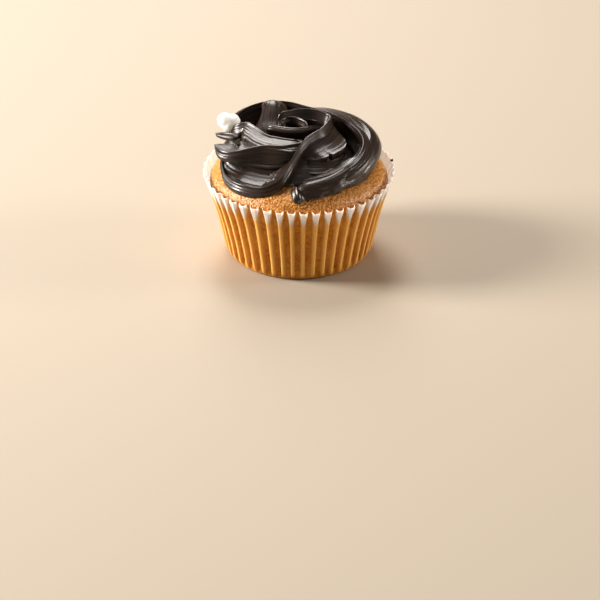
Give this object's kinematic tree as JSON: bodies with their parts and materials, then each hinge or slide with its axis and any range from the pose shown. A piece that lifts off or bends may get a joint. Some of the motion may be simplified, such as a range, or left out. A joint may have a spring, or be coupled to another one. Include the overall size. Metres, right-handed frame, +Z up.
{
  "type": "cupcake",
  "caption": "Sponge cupcake in a pleated white paper case, topped with glossy dark chocolate icing piped as a folded rosette and a small white sugar piece",
  "frame": {"origin": "middle of the flat base that the paper case stands on", "axes": "+Z up, -Y towards the viewer, +X to the viewer's right"},
  "size_m": [0.066, 0.0648, 0.0503],
  "materials": {
    "case_paper": "thin greaseproof paper, white where it stands free and golden where the sponge shows through",
    "baked_sponge": "golden brown baked crumb with a fine open grain, slightly moist",
    "chocolate_icing": "very dark brown glossy icing with fine streaks along the piped ribbons",
    "white_sugar": "off-white crumbly sugar, slightly translucent"
  },
  "bodies": {
    "root": {"paper_case": "case_paper", "sponge": "baked_sponge", "icing": "chocolate_icing", "sugar_piece": "white_sugar"}
  },
  "joints": []
}
